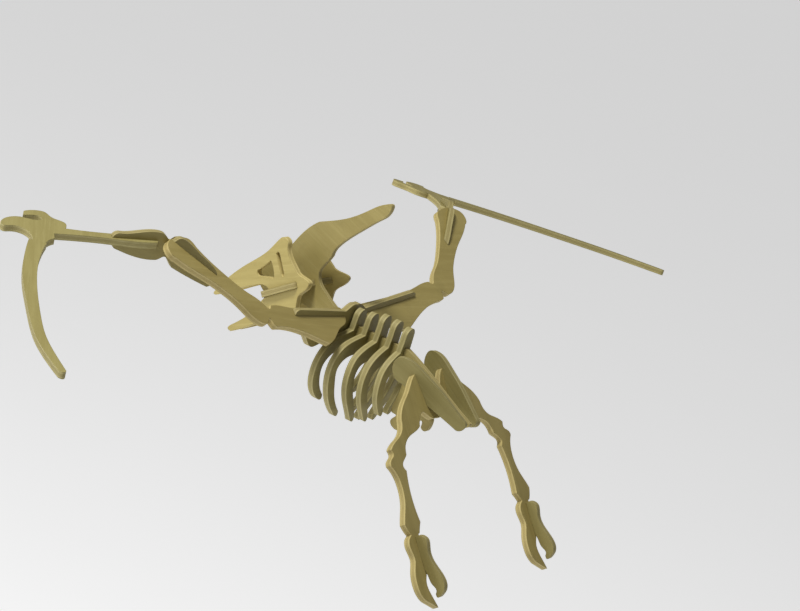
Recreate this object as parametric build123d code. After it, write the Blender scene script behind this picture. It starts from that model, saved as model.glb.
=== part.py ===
from build123d import *
import math
import os

# A slot-together plywood skeleton of a flying pteranodon.
# Every piece is a flat plate of the same sheet, and plates cross each other in slots.
# Frame: +X towards the beak, +Y to the animal's left, +Z up. The origin is the hanging
# point, on the top edge of the backbone, midway between the second and third ribs.

PLY = 3.0
SLOT_WIDTH = 3.06
END_PLAY = 0.05
CUTTER_DEPTH = 24

# Backbone: its depth, how deep plates sit on it, and where they cross it
BACKBONE_DEPTH = 8.0
SADDLE = 3.5
YOKE_X = 14.6
RIB_FRONT = 10.2
RIB_PITCH = 6.8

# Ribs, front to back: the height of the upright, then the centre line of the left half
RIBS = [
    (8.2, [(0, -5.2), (12, -7.4), (22, -10.8), (27, -17.5), (26, -25.8), (22.4, -31), (16.4, -35.4)]),
    (9.0, [(0, -5.2), (13, -7.6), (22, -11.4), (24.7, -16.3), (22.7, -25.7), (19, -32), (8.4, -42)]),
    (10.8, [(0, -5.2), (11, -8.8), (17, -12.6), (18.4, -18), (17, -24.4), (11.4, -33), (4, -42.4)]),
    (10.8, [(0, -5.2), (8.5, -8.6), (14, -13), (15.6, -18), (14.4, -24.2), (10.2, -31.4), (4, -39.4)]),
    (9.8, [(0, -5.2), (7.5, -8.6), (11.6, -13), (12.2, -18), (10.8, -23.4), (7.8, -28.6), (4, -33.6)]),
]
RIB_WIDTHS = [8, 7.6, 6.8, 5.8, 5.6, 4.8, 3.2]

# Skull: the left cheek plate and the palate that joins both cheeks to the spine plate
CHEEK_ORIGIN = (32.6, 18.5, 14.1)
CHEEK_FORWARD = (0.855, -0.251, -0.453)
CHEEK_NORMAL = (-0.218, -0.968, 0.126)
PALATE_REAR = (38.0, 10.5)
PALATE_SLOPE = 35.0
PALATE_LENGTH = 23.6
PALATE_MIDDLE = 12.0

# Left wing: arm plate, wrist brace and hand plate
SHOULDER = (15.8, 11.6, 4.4)
ARM_OUTWARD = (-0.045, 0.997, 0.059)
ARM_NORMAL = (-0.601, -0.074, 0.795)
ARM_ON_YOKE = 40.0
WRIST = (45.1, 132.8, 37.9)
BRACE_OUTWARD = (0.564, 0.826, 0.0)
BRACE_NORMAL = (0.823, -0.562, 0.080)
BRACE_ON_ARM = 13.5
HAND_ROOT = (45.1, 132.8, 36.4)
HAND_NORMAL = (0.014, 0.128, 0.992)
HAND_ON_BRACE = 14.0
FINGER_WIDTHS = [8, 6.6, 5.9, 5.1, 4.7, 4.3, 3.8, 3]

# Hips, legs and feet
HIP_FRONT = (-25.8, 15.8, 0.0)
HIP_SPLAY = 14.5
KNEE_X = -56.2
KNEE_Z = -35.0
LEG_SLOPE = 51.0
LEGS_ON_KEEL = -21.0
HIP_ON_LEGS = -29.5
ANKLE_Y = 56.6
TOE_Y = 56.8
TOE_TAB = (39.5, 46.5)
TOE_TAB_END = -2.6


# Helpers


def direction(vector):
    return Vector(*vector).normalized()


def oriented(origin, along, normal):
    """A plate's mid-plane, with local X as near the given direction as the plate allows."""
    upright = direction(normal)
    flat = Vector(*along)
    flat = flat - upright * flat.dot(upright)
    return Plane(origin=origin, x_dir=flat, z_dir=upright)


def across(x):
    """The mid-plane of a plate across the body at x, with local X to the left, Y up."""
    return Plane(origin=(x, 0, 0), x_dir=(0, 1, 0), z_dir=(1, 0, 0))


def meeting_line(first, second):
    """The direction of the line in which two mid-planes cross."""
    return first.z_dir.cross(second.z_dir).normalized()


def outline(*runs):
    """A face inside smooth curves through each run of points; the runs meet in corners."""
    start = runs[-1][-1]
    edges = []
    for run in runs:
        points = [start, *run]
        edges.append(Line(*points) if len(points) == 2 else Spline(*points))
        start = run[-1]
    return make_face(edges)


def limb(centre, widths):
    """A face of the given widths along a centre line, with a flat root and a rounded tip."""
    left = []
    right = []
    for i, (x, y) in enumerate(centre):
        before = centre[max(i - 1, 0)]
        after = centre[min(i + 1, len(centre) - 1)]
        run = Vector(after[0] - before[0], after[1] - before[1]).normalized()
        half = widths[i] / 2
        left.append((x - run.Y * half, y + run.X * half))
        right.append((x + run.Y * half, y - run.X * half))
    tip = (centre[-1][0] + run.X * half, centre[-1][1] + run.Y * half)
    return outline(left[1:], [tip, right[-1]], right[-2::-1], [left[0]])


def plate(face, plane):
    """A plate of the sheet, centred on the plane."""
    return extrude(plane * face, amount=PLY / 2, both=True)


def slot(mate, start, opening, reach=20):
    """The cutter for a slot that takes the mate's plate, from start out towards opening."""
    out = Vector(*opening).normalized()
    begin = Vector(*start) - out * END_PLAY
    frame = Plane(origin=begin, x_dir=out, z_dir=mate.z_dir)
    cutter = Box(reach, CUTTER_DEPTH, SLOT_WIDTH, align=(Align.MIN, Align.CENTER, Align.CENTER))
    return frame.location * cutter


def right_hand(part):
    return mirror(part, about=Plane.XZ)


def save(part, name):
    export_step(part, os.path.join("parts", name + ".step"))


# Mid-planes that more than one piece needs

slope = math.radians(PALATE_SLOPE)
PALATE_FORWARD = (math.cos(slope), 0, -math.sin(slope))
PALATE_UP = (math.sin(slope), 0, math.cos(slope))
PALATE = oriented((PALATE_REAR[0], 0, PALATE_REAR[1]), PALATE_FORWARD, PALATE_UP)
CHEEK = oriented(CHEEK_ORIGIN, CHEEK_FORWARD, CHEEK_NORMAL)
SAGITTAL = Plane(origin=(0, 0, 0), x_dir=(1, 0, 0), z_dir=(0, -1, 0))

YOKE = across(YOKE_X)
ARM = oriented(SHOULDER, ARM_OUTWARD, ARM_NORMAL)
BRACE = oriented(WRIST, BRACE_OUTWARD, BRACE_NORMAL)
HAND = oriented(HAND_ROOT, (1, 0, 0), HAND_NORMAL)

slope = math.radians(LEG_SLOPE)
LEG_DOWN = (-math.cos(slope), 0, -math.sin(slope))
LEG_FRONT = (math.sin(slope), 0, -math.cos(slope))
LEGS = oriented((KNEE_X, 0, KNEE_Z), LEG_DOWN, LEG_FRONT)
TOE = oriented((KNEE_X, TOE_Y, KNEE_Z), LEG_DOWN, (0, 1, 0))
splay = math.radians(HIP_SPLAY)
HIP_REARWARD = (-math.cos(splay), -math.sin(splay), 0)
HIP = oriented(HIP_FRONT, HIP_REARWARD, (-math.sin(splay), math.cos(splay), 0))


# Where half-lapped plates bottom out on each other


def on_line(first, second, along):
    """The point where two mid-planes cross, the given way along the first plane's local X."""
    line = meeting_line(first, second)
    base = first.from_local_coords((along, 0, 0))
    up = first.y_dir
    reach = (second.origin - base).dot(second.z_dir) / up.dot(second.z_dir)
    return base + up * reach, line


def outward(line, towards):
    """The line's direction, turned to point the same way as towards."""
    return line if line.dot(Vector(*towards)) > 0 else line * -1


arm_lap, arm_line = on_line(YOKE, ARM, ARM_ON_YOKE)
ARM_OFF = outward(arm_line, (0, 1, 0))
brace_lap, brace_line = on_line(BRACE, ARM, -BRACE_ON_ARM)
BRACE_OFF = outward(brace_line, (0, 1, 0))
hand_lap, hand_line = on_line(BRACE, HAND, HAND_ON_BRACE)
HAND_OFF = outward(hand_line, (0, 1, 0))
hip_line = outward(meeting_line(HIP, LEGS), LEG_DOWN)


def hip_lap_point():
    """The point on both the hip plate and the leg plate, HIP_ON_LEGS below the knee line."""
    base = LEGS.from_local_coords((HIP_ON_LEGS, 0, 0))
    reach = (HIP.origin - base).dot(HIP.z_dir) / LEGS.y_dir.dot(HIP.z_dir)
    return base + LEGS.y_dir * reach


# The pieces


def spine():
    """Crest, neck, backbone, keel and tail in one plate, slotted for all that crosses it."""
    crest_rear = [(33.4, 28.6), (31.1, 33.1), (21.8, 44.4), (15.6, 51.2), (11.4, 57.2)]
    crest_top = [(11.8, 61), (14.6, 60.2), (22.4, 53.9), (31.3, 46.5), (38.6, 42.3), (45.6, 38.9)]
    face = outline(
        [(-45, -11.8), (-32, -5.2), (-20, 0)],
        [(16, 0)],
        [(25, 4.2), (31.3, 8), (35.6, 11.4), (37.4, 15.8), (35.3, 22.1), (33.7, 25.9)],
        crest_rear + crest_top,
        [(49.6, 34.6), (53.9, 27.5), (56.8, 21.4), (61, 15.5), (66, 9.4), (68, 4), (62, -5)],
        [(52, -5.8), (41, -1.8), (34.3, -3.2), (27, -6.6), (20, -BACKBONE_DEPTH)],
        [(-19, -BACKBONE_DEPTH)],
        [(-22.2, -12), (-22.8, -20), (-21.6, -29.6)],
        [(-23.2, -31.6), (-25, -31.8), (-23.2, -35), (-26.4, -38.4), (-33, -35), (-37.4, -28.8)],
        [(-39.2, -29.6), (-39.4, -32), (-41.6, -33), (-43.4, -30), (-43, -26)],
        [(-48, -23.6), (-58, -22.6), (-62.4, -21.6), (-62.6, -20.2)],
    )
    body = plate(face, SAGITTAL)
    for x in [YOKE_X] + [RIB_FRONT - RIB_PITCH * i for i in range(5)]:
        body -= slot(across(x), (x, 0, -SADDLE), (0, 0, 1))
    palate_lap = PALATE.from_local_coords((PALATE_MIDDLE, 0, 0))
    body -= slot(PALATE, palate_lap, PALATE_FORWARD)
    body -= slot(LEGS, LEGS.from_local_coords((LEGS_ON_KEEL, 0, 0)), LEG_DOWN)
    return body


def rib(x, top, centre, widths):
    """A rib pair with its upright spine, which sits down over the backbone."""
    arm = limb(centre, widths)
    upright = outline(
        [(4, 0), (3.7, top / 2), (3.5, top - 2.6), (0, top), (-3.5, top - 2.6)],
        [(-3.7, top / 2), (-4, 0), (-4.8, -6)],
        [(0, -8)],
        [(4.8, -6)],
    )
    face = arm + mirror(arm, about=Plane.YZ) + upright
    body = plate(face, across(x))
    return body - slot(SAGITTAL, (x, 0, -SADDLE), (0, 0, -1))


def shoulder_yoke():
    """The cross plate that carries both arms, saddled on the backbone before the ribs."""
    half = outline(
        [(4.5, 8.9), (7.6, 7.4), (9.6, 6.4)],
        [(30, 8.6), (54, 11)],
        [(58, 9.4), (57.6, 5), (50, 0.4), (40.5, -4.6), (34, -9.4), (26, -8.6), (12, -8.4)],
        [(0, -8.4)],
        [(0, 9.2)],
    )
    body = plate(half + mirror(half, about=Plane.YZ), YOKE)
    body -= slot(SAGITTAL, (YOKE_X, 0, -SADDLE), (0, 0, -1))
    cutter = slot(ARM, arm_lap, ARM_OFF, 30)
    return body - cutter - right_hand(cutter)


def arm():
    """Upper arm and forearm in one plate, slotted on to the yoke and for the wrist brace."""
    face = outline(
        [(10, -2.8), (35, -3.6), (48.5, -4.8), (60, -6.6), (65, -6.6)],
        [(68.4, -5.2), (71, -7.8), (80.6, -14.6), (91, -23.2), (99, -31.4), (104.4, -38.6)],
        [(106.6, -42.6), (110, -43.8)],
        [(118, -44.6), (124.4, -43), (129, -39.4), (129, -36), (126, -33.6)],
        [(120, -29.2), (108.3, -22.6), (99.6, -16.6), (91, -8.6), (85, -1), (80.6, 1.6), (75.6, 1.9)],
        [(71.4, 0.4), (70.6, 3), (68, 4.2)],
        [(54, 6), (42, 9.6), (34, 12.8), (27, 15.6)],
        [(20, 13.4), (8, 8), (-1.6, 3.6), (-2.2, -1.8), (0, -2.6)],
    )
    body = plate(face, ARM)
    body -= slot(YOKE, arm_lap, ARM_OFF * -1, 50)
    return body - slot(BRACE, brace_lap, BRACE_OFF, 30)


def wrist_brace():
    """The two-lobed plate that joins forearm and hand."""
    face = outline(
        [(-26.6, -11), (-25, -9.2), (-16.2, -3.8), (-7.4, 1.5), (-4.7, 2.2), (-2.3, 0.6)],
        [(0.6, 0.2), (3.2, 2.4), (7.4, 3.2), (16, 1.4), (24.6, -0.4)],
        [(27.2, -2.6), (27, -5.6), (25, -7.9)],
        [(21.3, -8.8), (5.3, -10), (3.4, -9.4), (0.8, -7.6), (-1.9, -9.4), (-4.2, -12)],
        [(-13.8, -15.3), (-23.8, -18.2)],
        [(-26.2, -16.4), (-26.8, -13)],
    )
    body = plate(face, BRACE)
    body -= slot(ARM, brace_lap, BRACE_OFF * -1)
    return body - slot(HAND, hand_lap, HAND_OFF)


def hand():
    """Palm with two clawed fingers and the long swept wing finger."""
    palm = outline(
        [(17.6, 19.6), (31.4, 35.4)],
        [(33, 32.4), (35.8, 30.2), (42.4, 30.8), (48.6, 28.8), (52.4, 32.4), (53.4, 37.2)],
        [(50.6, 41)],
        [(49, 37.6), (46.4, 35), (43.4, 36.4), (43.8, 39.8), (46, 41.6)],
        [(49.8, 43.9)],
        [(52, 48), (51.8, 53.6), (50, 57.6)],
        [(46.4, 58.2), (45, 55.4), (42, 53.4), (37, 54), (29, 65)],
        [(19.6, 67.4)],
        [(24.4, 58.6), (26.2, 53.4), (26.4, 49.2)],
        [(30, 45)],
        [(24.8, 37.6), (15.6, 26.4), (8.4, 19), (1, 8)],
        [(3, 4.6), (7.4, 3.4)],
    )
    sweep = [(28, 59), (17.6, 76.2), (2.2, 96.8), (-12.4, 113.4), (-24.6, 126.6)]
    finger = limb(sweep + [(-36.4, 138.2), (-50, 148.8), (-62.4, 157.2)], FINGER_WIDTHS)
    body = plate(palm + finger, HAND)
    return body - slot(BRACE, hand_lap, HAND_OFF * -1)


def cheek():
    """One side of the skull with the lower jaw, slotted from the mouth for the palate."""
    face = outline(
        [(9, 20.8), (11.5, 22.7), (14, 22), (21.8, 17.6), (37, 12.3), (55.5, 5.2), (63.6, 0.6)],
        [(64.6, -0.5), (63.4, -1.3)],
        [(47, 0.5), (33.5, 1.5), (28, 0.6), (26, -1.3), (29.5, -5), (43, -12.9), (54.5, -16.4)],
        [(57.8, -18.4), (56, -19.7)],
        [(49.5, -19), (26, -15), (14.6, -12.9), (9.6, -12.2)],
        [(8.3, -9.5), (6.6, -6.2), (1.2, -3.6), (-1.6, -0.8), (2.4, 2.6), (5.8, 5.6)],
        [(8.4, 10.8), (9.6, 15.4), (8.9, 18.8)],
    )
    eye = outline(
        [(32.3, 7), (31.4, 5.6)],
        [(21.2, 3.6)],
        [(20.8, 7), (21.8, 12.4)],
        [(28.6, 9.4), (32, 8.4)],
    )
    slit = outline(
        [(16.2, 16), (17.6, 15.2)],
        [(16.2, 5.2)],
        [(15, 4), (14, 5.6)],
        [(15.2, 15)],
    )
    body = plate(face - eye - slit, CHEEK)
    mouth = Box(PALATE_LENGTH + 10, 40, SLOT_WIDTH, align=(Align.MIN, Align.MIN, Align.CENTER))
    return body - PALATE.location * Pos(-END_PLAY, PLY, 0) * mouth


def palate():
    """The crossbar of the skull; both cheeks hang on its ends."""
    half = outline(
        [(0, 17)],
        [(0.6, 19), (2.6, 19.4)],
        [(21.4, 15)],
        [(23.4, 13.8), (PALATE_LENGTH, 12)],
        [(PALATE_LENGTH, 0)],
        [(0, 0)],
    )
    body = plate(half + mirror(half, about=Plane.XZ), PALATE)
    palate_lap = PALATE.from_local_coords((PALATE_MIDDLE, 0, 0))
    return body - slot(SAGITTAL, palate_lap, Vector(*PALATE_FORWARD) * -1)


def hip():
    """The long side plate of the pelvis, slotted down over the leg plate."""
    face = outline(
        [(4.6, 0), (12.1, -3.2), (21.2, -7.9), (30.9, -14), (37, -18)],
        [(38.8, -20.4), (37.4, -22.8), (34.2, -23.3)],
        [(27.2, -20.6), (20.2, -18.1), (11, -14.6), (3.4, -11.9)],
        [(0.4, -11.2), (-2.4, -8.2), (-3.3, -4.4), (-2.4, -1.2), (0.6, 0.2)],
    )
    body = plate(face, HIP)
    return body - slot(LEGS, hip_lap_point(), hip_line)


def leg_face():
    """The left half of the leg plate from the keel to the ankle, without the foot."""
    return outline(
        [(-29, 5), (-34.4, 8.4), (-37.4, 13), (-35.4, 18.4), (-29.2, 26.4), (-25, 33), (-18, 39.5)],
        [(-11, 44.4), (-7.6, 53), (-5.6, 56.2)],
        [(-2.6, 56), (-0.6, 59.6), (1.6, 60.6)],
        [(10, 56.4), (19.6, 58), (25, 61.4), (28.8, 63.6)],
        [(31.4, 62.4), (34.4, 60)],
        [(34.4, 53.2)],
        [(32, 51.6), (29.6, 49.6)],
        [(17.5, 50.8), (5.5, 48.5)],
        [(2.2, 50), (0, 47), (-1.8, 44.4)],
        [(-6.6, 42), (-9.4, 37), (-11, 30), (-13, 24.6)],
        [(-17.4, 21.6), (-19, 18.4), (-17, 14), (-15, 9)],
        [(-15, 0)],
        [(-27.6, 0)],
    )


def foot_face():
    """A foot from the ankle down, with its claw curling to the animal's right."""
    return outline(
        [(33.2, 60), (35.6, 63.4), (38.6, 64.8), (44.7, 63.6), (50, 66.4), (57, 68), (64.4, 64.2)],
        [(69, 55.8)],
        [(62.6, 58.6), (57, 59.8), (52.4, 57), (46, 53.6), (40, 54), (35.6, 54.6), (33.2, 53.4)],
        [(32, 53.4)],
        [(32, 60)],
    )


def legs():
    """Both legs in one plate: it crosses the keel and carries the hips and the toes."""
    half = leg_face()
    foot = foot_face()
    face = half + mirror(half, about=Plane.XZ) + foot + Pos(0, -2 * ANKLE_Y, 0) * foot
    body = plate(face, LEGS)
    body -= slot(SAGITTAL, LEGS.from_local_coords((LEGS_ON_KEEL, 0, 0)), Vector(*LEG_DOWN) * -1)
    cutter = slot(HIP, hip_lap_point(), hip_line * -1)
    start, end = TOE_TAB
    hole = Box(end - start + 2 * END_PLAY, SLOT_WIDTH, 3 * PLY)
    mortise = LEGS.location * Pos((start + end) / 2, TOE_Y, 0) * hole
    return body - cutter - right_hand(cutter) - mortise - right_hand(mortise)


def toe():
    """The rear toe, a plate along the body with a tab through the foot."""
    start, end = TOE_TAB
    back = PLY / 2 + END_PLAY
    face = outline(
        [(35.4, 4), (37.6, 6.4), (43, 5.8), (48.6, 6.2), (54, 8.2), (60.6, 9), (63.6, 6.6)],
        [(64.4, 3.8), (62.6, 3.6)],
        [(61, 4.4), (58, 3), (55, 2.4), (51, back)],
        [(end, back)],
        [(end, TOE_TAB_END)],
        [(start, TOE_TAB_END)],
        [(start, back)],
        [(35.4, back)],
    )
    return plate(face, TOE)


os.makedirs("parts", exist_ok=True)
save(spine(), "spine")
for number, (top, centre) in enumerate(RIBS):
    save(rib(RIB_FRONT - RIB_PITCH * number, top, centre, RIB_WIDTHS), f"rib_{number + 1}")
save(shoulder_yoke(), "shoulder_yoke")
save(palate(), "palate_crossbar")
save(legs(), "legs")
for name, make in [
    ("arm", arm),
    ("wrist_brace", wrist_brace),
    ("hand", hand),
    ("skull_side", cheek),
    ("pelvis_side", hip),
    ("toe", toe),
]:
    left = make()
    save(left, name + "_left")
    save(right_hand(left), name + "_right")
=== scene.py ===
import random
from collections import namedtuple

import bpy
from mathutils import Matrix, Vector


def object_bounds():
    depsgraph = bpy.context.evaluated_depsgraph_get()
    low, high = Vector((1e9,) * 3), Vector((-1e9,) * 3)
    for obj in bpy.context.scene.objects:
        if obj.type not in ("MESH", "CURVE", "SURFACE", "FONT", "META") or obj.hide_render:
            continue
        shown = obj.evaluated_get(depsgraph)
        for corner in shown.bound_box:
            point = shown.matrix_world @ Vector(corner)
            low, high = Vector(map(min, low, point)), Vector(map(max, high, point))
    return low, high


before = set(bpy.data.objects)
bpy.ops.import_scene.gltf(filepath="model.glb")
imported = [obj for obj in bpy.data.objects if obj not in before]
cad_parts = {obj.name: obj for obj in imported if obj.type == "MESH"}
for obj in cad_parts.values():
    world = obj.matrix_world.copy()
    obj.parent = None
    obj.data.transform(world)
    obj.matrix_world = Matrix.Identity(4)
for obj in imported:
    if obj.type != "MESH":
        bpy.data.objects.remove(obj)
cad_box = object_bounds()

# A plywood slot-together skeleton. Every CAD node is a flat plate of 3 mm sheet and stays as
# it is; here each one gets its own plywood, whose plies and grain follow the plate's own plane
# and whose cut edges catch the light as if lightly sanded.

# Heights from a plate's mid-plane, and the soft steps between them, in millimetres
GLUE_HEIGHT = 0.5
FACE_HEIGHT = 1.45
FACE_STEP = 0.12
CORE_STEP = 0.06
GLUE_FADE = (0.09, 0.03)
MILLIMETRES = 1000.0

# How much of the core and of the glue lines shows on a cut edge
CORE_STRENGTH = 0.6
GLUE_STRENGTH = 0.5

# A layer of wood figure: its noise is stretched by so much per millimetre along the grain, across
# it and through the sheet, and it fades in between two noise values up to its strength
Layer = namedtuple("Layer", "stretch detail rough distortion low high strength")
BANDS = Layer((0.012, 0.13, 0.1), 2.0, 0.5, 0.6, 0.36, 0.66, 0.55)
STREAKS = Layer((0.035, 0.9, 0.3), 4.0, 0.62, 0.3, 0.48, 0.72, 0.5)
PORES = Layer((0.22, 3.6, 1.0), 2.0, 0.6, 0.0, 0.56, 0.74, 0.38)
CLOUD = Layer((0.03, 0.05, 0.05), 2.0, 0.5, 0.0, 0.42, 0.7, 0.22)
FIBRES = Layer((0.25, 0.25, 5.0), 3.0, 0.6, 0.0, 0.35, 0.75, 1.0)
END_GRAIN = Layer((2.4, 2.4, 1.2), 3.0, 0.6, 0.0, 0.4, 0.7, 1.0)
SMEARS = Layer((0.06, 0.06, 0.06), 4.0, 0.6, 0.8, 0.56, 0.78, 0.16)
VENEER_STRETCH = (1, 1, 0.15)
SHIFT_SPAN = 9

# How far each stands up in the relief, and how deep the whole relief is, in metres
STREAK_RISE = 0.7
PORE_RISE = 0.5
END_GRAIN_RISE = 0.9
GLUE_RISE = -0.8
RELIEF_DEPTH = 0.00022
RELIEF_STRENGTH = 0.35

# How far the shading rounds a cut edge, in metres
EASED = 0.0004

# Sheen of the bare wood: the face, and what its streaks and the cut edge add
FACE_ROUGHNESS = 0.42
STREAK_ROUGHNESS = 0.22
EDGE_ROUGHNESS = 0.12
SPECULAR = 0.32

# Sheet tone, linear: veneer, its darker and lighter figure, cut edge, core and glue
VENEER = (0.345, 0.285, 0.098)
FIGURE = (0.265, 0.212, 0.064)
PALE = (0.400, 0.337, 0.130)
CUT_EDGE = (0.470, 0.395, 0.170)
CORE = (0.330, 0.262, 0.095)
GLUE = (0.170, 0.125, 0.050)
GRIME = (0.150, 0.115, 0.035)

# How bright each piece's veneer is, and how warm (1 is the plain sheet), and how far two pieces of
# one kind may differ. The brightness is partly painted light and shade: pieces that sit in shade,
# such as the toes, ribs, shoulder yoke and wrist braces, are painted darker, and the skull sides,
# lit from the front, are painted lighter
BRIGHT_SPREAD = (0.97, 1.03)
WARM_SPREAD = (0.99, 1.01)
TONE = {
    "spine": (0.92, 1.01),
    "shoulder_yoke": (0.84, 0.99),
    "palate_crossbar": (0.86, 1.01),
    "legs": (0.95, 1.03),
    "arm": (1.00, 1.03),
    "wrist_brace": (0.84, 0.98),
    "hand": (0.92, 0.97),
    "skull_side": (1.22, 1.02),
    "pelvis_side": (0.74, 0.97),
    "toe": (0.80, 0.99),
    "rib": (0.88, 0.97),
}

# The way each piece's face grain runs, in the row frame
GRAIN = {
    "spine": (1, 0, 0.35),
    "shoulder_yoke": (0, 1, 0),
    "palate_crossbar": (0, 1, 0),
    "legs": (-0.63, 0, -0.78),
    "arm": (0.1, 1, 0.1),
    "wrist_brace": (0.5, 0.8, 0.3),
    "hand": (-0.6, 0.8, 0),
    "skull_side": (0.85, -0.2, -0.45),
    "pelvis_side": (0.9, 0, 0.4),
    "toe": (-0.63, 0, -0.78),
    "rib": (0, 1, 0),
}

# Any direction that no plate's normal is square to, to tell a plate's two faces apart
GAUGE = Vector((0.31, 0.73, 0.61))

# Floor, lights and camera, in metres and watts
FLOOR_BELOW = 0.55
FLOOR_SIZE = 60
FLOOR_GLOW = 0.45
FLOOR_TONES = ((0.93, 0.93, 0.93), (0.95, 0.95, 0.95))
SKY = 0.20
LIGHTS = {
    "key": {"place": (0.32, 0.70, 1.30), "size": 0.4, "power": 23},
    "front": {"place": (1.1, 1.1, 0.1), "size": 0.8, "power": 5.5},
}
CAMERA_PLACE = (-0.5921, 1.2268, 0.3671)
CAMERA_RIGHT = Vector((-0.8236, -0.4786, 0.3044))
CAMERA_BACK = Vector((-0.4162, 0.8745, 0.2491))
CAMERA_LENS = 133.2


def family(name):
    """The piece's name without its side or number."""
    for tail in ("_left", "_right", "_1", "_2", "_3", "_4", "_5"):
        if name.endswith(tail):
            return name[: -len(tail)]
    return name


def plate_axes(node, grain):
    """The plate's axes, x along the grain and z through the sheet, and a point on its mid-plane."""
    mesh = node.data
    facings = {}
    for face in mesh.polygons:
        sign = 1 if face.normal.dot(GAUGE) > 0 else -1
        key = tuple(round(c, 2) for c in face.normal * sign)
        total, weighted = facings.get(key, (0.0, Vector()))
        facings[key] = (total + face.area, weighted + face.normal * sign * face.area)
    weighted = max(facings.values(), key=lambda entry: entry[0])[1]
    normal = weighted.normalized()
    along = Vector(grain)
    along = (along - normal * along.dot(normal)).normalized()
    across = normal.cross(along)
    heights = [v.co.dot(normal) for v in mesh.vertices]
    middle = (min(heights) + max(heights)) / 2
    return Matrix((along, across, normal)).transposed(), normal * middle


class Tree:
    """Short calls for building a material's nodes."""

    def __init__(self, name):
        self.material = bpy.data.materials.new(name)
        self.material.use_nodes = True
        self.nodes = self.material.node_tree.nodes
        self.links = self.material.node_tree.links
        self.nodes.clear()

    def add(self, kind, inputs=None, **settings):
        node = self.nodes.new(kind)
        for key, value in settings.items():
            setattr(node, key, value)
        for key, value in (inputs or {}).items():
            self.put(node.inputs[key], value)
        return node

    def put(self, socket, value):
        if isinstance(value, bpy.types.NodeSocket):
            self.links.new(value, socket)
        else:
            socket.default_value = value

    def math(self, operation, *values, clamp=False):
        inputs = dict(enumerate(values))
        node = self.add("ShaderNodeMath", inputs, operation=operation, use_clamp=clamp)
        return node.outputs[0]

    def scaled(self, value, by):
        return self.math("MULTIPLY", value, by)

    def ramp(self, value, low, high):
        """Eases from 0 at low to 1 at high; low may be the larger."""
        node = self.add(
            "ShaderNodeMapRange", {"Value": value, "From Min": low, "From Max": high}
        )
        node.interpolation_type = "SMOOTHSTEP"
        return node.outputs[0]

    def stretched(self, vector, scale, shift):
        node = self.add("ShaderNodeMapping", {"Vector": vector, "Scale": scale, "Location": shift})
        return node.outputs[0]

    def noise(self, vector, scale, detail, rough=0.5, distortion=0.0):
        node = self.add(
            "ShaderNodeTexNoise",
            {
                "Vector": vector,
                "Scale": scale,
                "Detail": detail,
                "Roughness": rough,
                "Distortion": distortion,
            },
        )
        return node.outputs["Fac"]

    def figure(self, vector, layer, shift):
        """The layer's noise, and how much of what is under it the layer covers."""
        placed = self.stretched(vector, layer.stretch, shift)
        noise = self.noise(placed, 1.0, layer.detail, layer.rough, layer.distortion)
        cover = self.scaled(self.ramp(noise, layer.low, layer.high), layer.strength)
        return noise, cover

    def mix(self, factor, a, b):
        node = self.add("ShaderNodeMix", data_type="RGBA")
        self.put(node.inputs[0], factor)
        self.put(node.inputs[6], a if isinstance(a, bpy.types.NodeSocket) else (*a, 1))
        self.put(node.inputs[7], b if isinstance(b, bpy.types.NodeSocket) else (*b, 1))
        return node.outputs[2]


def toned(colour, tone):
    bright, warm = tone
    red, green, blue = colour
    return (red * bright * warm, green * bright, blue * bright / warm)


def plate_coordinates(tree, axes, middle):
    """Millimetres along the grain, across it and through the sheet."""
    place = tree.add("ShaderNodeTexCoord").outputs["Object"]
    placed = tree.add(
        "ShaderNodeVectorMath", {0: place, 1: tuple(-c for c in middle)}, operation="ADD"
    ).outputs[0]
    turned = tree.add(
        "ShaderNodeVectorRotate",
        {"Vector": placed, "Rotation": axes.inverted().to_euler()},
        rotation_type="EULER_XYZ",
    ).outputs[0]
    return tree.add(
        "ShaderNodeVectorMath", {0: turned, "Scale": MILLIMETRES}, operation="SCALE"
    ).outputs[0]


def veneer_face(tree, local, shift, tone):
    """Veneer figure, all long with the grain: (colour, growth streaks, short pores)."""
    sheet = tree.stretched(local, VENEER_STRETCH, shift)
    _, dark_bands = tree.figure(sheet, BANDS, shift)
    streaks, pale_streaks = tree.figure(sheet, STREAKS, shift)
    pores, dark_pores = tree.figure(sheet, PORES, shift)
    _, dark_cloud = tree.figure(sheet, CLOUD, shift)
    dark = toned(FIGURE, tone)
    veneer = tree.mix(dark_bands, toned(VENEER, tone), dark)
    veneer = tree.mix(pale_streaks, veneer, toned(PALE, tone))
    veneer = tree.mix(dark_pores, veneer, dark)
    veneer = tree.mix(dark_cloud, veneer, dark)
    return veneer, streaks, pores


def cut_edge(tree, local, height, shift, tone):
    """Two pale outer plies, a darker core and thin glue lines: (colour, end grain, glue)."""
    core = tree.ramp(height, GLUE_HEIGHT + CORE_STEP, GLUE_HEIGHT - CORE_STEP)
    glue_gap = tree.math("ABSOLUTE", tree.math("SUBTRACT", height, GLUE_HEIGHT))
    glue = tree.scaled(tree.ramp(glue_gap, *GLUE_FADE), GLUE_STRENGTH)
    end_grain, dark_ends = tree.figure(local, END_GRAIN, shift)
    _, fibres = tree.figure(local, FIBRES, shift)
    plies = tree.mix(fibres, toned(CUT_EDGE, tone), toned(VENEER, tone))
    core_wood = tree.mix(dark_ends, toned(CORE, tone), toned(FIGURE, tone))
    edge = tree.mix(tree.scaled(core, CORE_STRENGTH), plies, core_wood)
    return tree.mix(glue, edge, toned(GLUE, tone)), end_grain, glue


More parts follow.
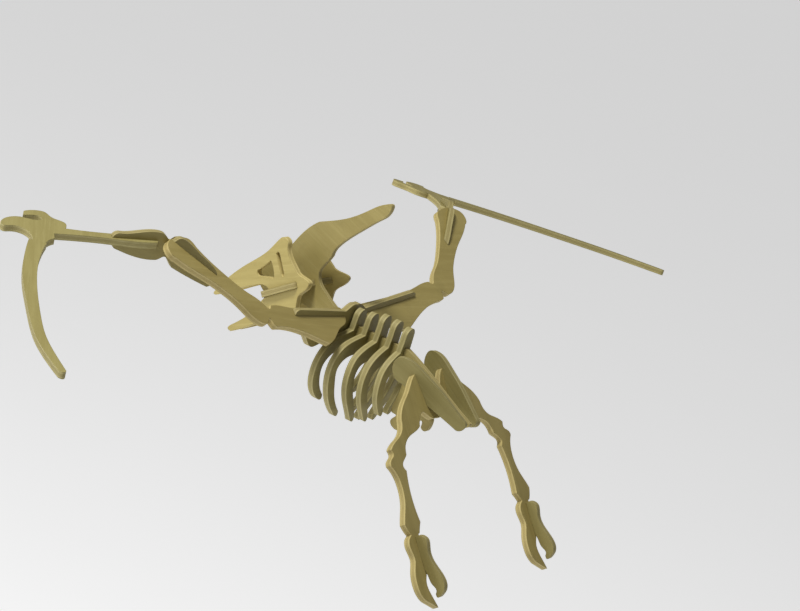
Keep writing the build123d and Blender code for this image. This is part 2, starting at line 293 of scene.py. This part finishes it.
def plywood(name, axes, middle, tone, seed):
    """Sheet plywood in a plate's own frame: veneer faces, and plies and glue on the cut edge."""
    tree = Tree("plywood_" + name)
    draw = random.Random(seed)
    shift = tuple(draw.uniform(0, SHIFT_SPAN) for _ in range(3))
    local = plate_coordinates(tree, axes, middle)
    depth = tree.add("ShaderNodeSeparateXYZ", {0: local}).outputs[2]
    height = tree.math("ABSOLUTE", depth)
    on_edge = tree.ramp(height, FACE_HEIGHT, FACE_HEIGHT - FACE_STEP)
    veneer, streaks, pores = veneer_face(tree, local, shift, tone)
    edge, end_grain, glue = cut_edge(tree, local, height, shift, tone)
    wood = tree.mix(on_edge, veneer, edge)

    # Handling: a little darker where smears have soaked in
    _, soaked = tree.figure(local, SMEARS, shift)
    wood = tree.mix(soaked, wood, GRIME)

    rough_face = tree.math("MULTIPLY_ADD", streaks, STREAK_ROUGHNESS, FACE_ROUGHNESS)
    rough = tree.math("ADD", rough_face, tree.scaled(on_edge, EDGE_ROUGHNESS), clamp=True)

    face_relief = tree.math(
        "ADD", tree.scaled(streaks, STREAK_RISE), tree.scaled(pores, PORE_RISE)
    )
    edge_relief = tree.math(
        "ADD", tree.scaled(end_grain, END_GRAIN_RISE), tree.scaled(glue, GLUE_RISE)
    )
    relief = tree.add("ShaderNodeMix", {0: on_edge, 2: face_relief, 3: edge_relief})
    eased = tree.add("ShaderNodeBevel", {"Radius": EASED}, samples=6)
    bump = tree.add(
        "ShaderNodeBump",
        {
            "Height": relief.outputs[0],
            "Strength": RELIEF_STRENGTH,
            "Distance": RELIEF_DEPTH,
            "Normal": eased.outputs[0],
        },
    )
    shader = tree.add(
        "ShaderNodeBsdfPrincipled",
        {
            "Base Color": wood,
            "Roughness": rough,
            "Normal": bump.outputs[0],
            "Specular IOR Level": SPECULAR,
        },
    )
    tree.add("ShaderNodeOutputMaterial", {"Surface": shader.outputs[0]})
    return tree.material


for index, (name, node) in enumerate(sorted(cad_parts.items())):
    kind = family(name)
    axes, middle = plate_axes(node, GRAIN[kind])
    # The piece's brightness from the table, painted shade and light as well as veneer tone, with a
    # small random spread
    bright, warm = TONE[kind]
    draw = random.Random(40 + index)
    tone = (bright * draw.uniform(*BRIGHT_SPREAD), warm * draw.uniform(*WARM_SPREAD))
    material = plywood(name, axes, middle, tone, 100 + index)
    node.data.materials.clear()
    node.data.materials.append(material)

# Stage: a pale floor far enough below that the hanging skeleton throws no hard shadow on it

floor_height = cad_box[0][2] - FLOOR_BELOW
bpy.ops.mesh.primitive_plane_add(size=FLOOR_SIZE, location=(0, 0, floor_height))
floor = bpy.context.object
floor.name = "floor"
floor_tree = Tree("floor_paper")
paper = floor_tree.noise(floor_tree.add("ShaderNodeTexCoord").outputs["Object"], 3.0, 2.0)
shade = floor_tree.mix(paper, *FLOOR_TONES)
floor_shader = floor_tree.add(
    "ShaderNodeBsdfPrincipled",
    {
        "Base Color": shade,
        "Roughness": 0.9,
        "Emission Color": (1, 1, 1, 1),
        "Emission Strength": FLOOR_GLOW,
    },
)
floor_tree.add("ShaderNodeOutputMaterial", {"Surface": floor_shader.outputs[0]})
floor.data.materials.append(floor_tree.material)

world = bpy.data.worlds.new("studio")
bpy.context.scene.world = world
world.use_nodes = True
background = world.node_tree.nodes["Background"]
background.inputs[0].default_value = (1.0, 1.0, 1.0, 1)
background.inputs[1].default_value = SKY


def soft_light(name, place, size, power):
    """A square area light aimed at the middle of the skeleton."""
    lamp = bpy.data.lights.new(name, "AREA")
    lamp.shape = "SQUARE"
    lamp.size = size
    lamp.energy = power
    holder = bpy.data.objects.new(name, lamp)
    bpy.context.scene.collection.objects.link(holder)
    holder.location = place
    holder.rotation_euler = (-Vector(place)).to_track_quat("-Z", "Y").to_euler()


for name, light in LIGHTS.items():
    soft_light(name, **light)

# Camera: from behind the animal's left wing, a little above

camera_data = bpy.data.cameras.new("camera")
camera_data.sensor_width = 36.0
camera_data.lens = CAMERA_LENS
camera_data.clip_start = 0.05
camera = bpy.data.objects.new("camera", camera_data)
bpy.context.scene.collection.objects.link(camera)
back = CAMERA_BACK.normalized()
right = (CAMERA_RIGHT - back * CAMERA_RIGHT.dot(back)).normalized()
up = back.cross(right)
turn = Matrix((right, up, back)).transposed().to_4x4()
camera.matrix_world = Matrix.Translation(CAMERA_PLACE) @ turn
bpy.context.scene.camera = camera
bpy.context.scene.view_settings.view_transform = "Standard"
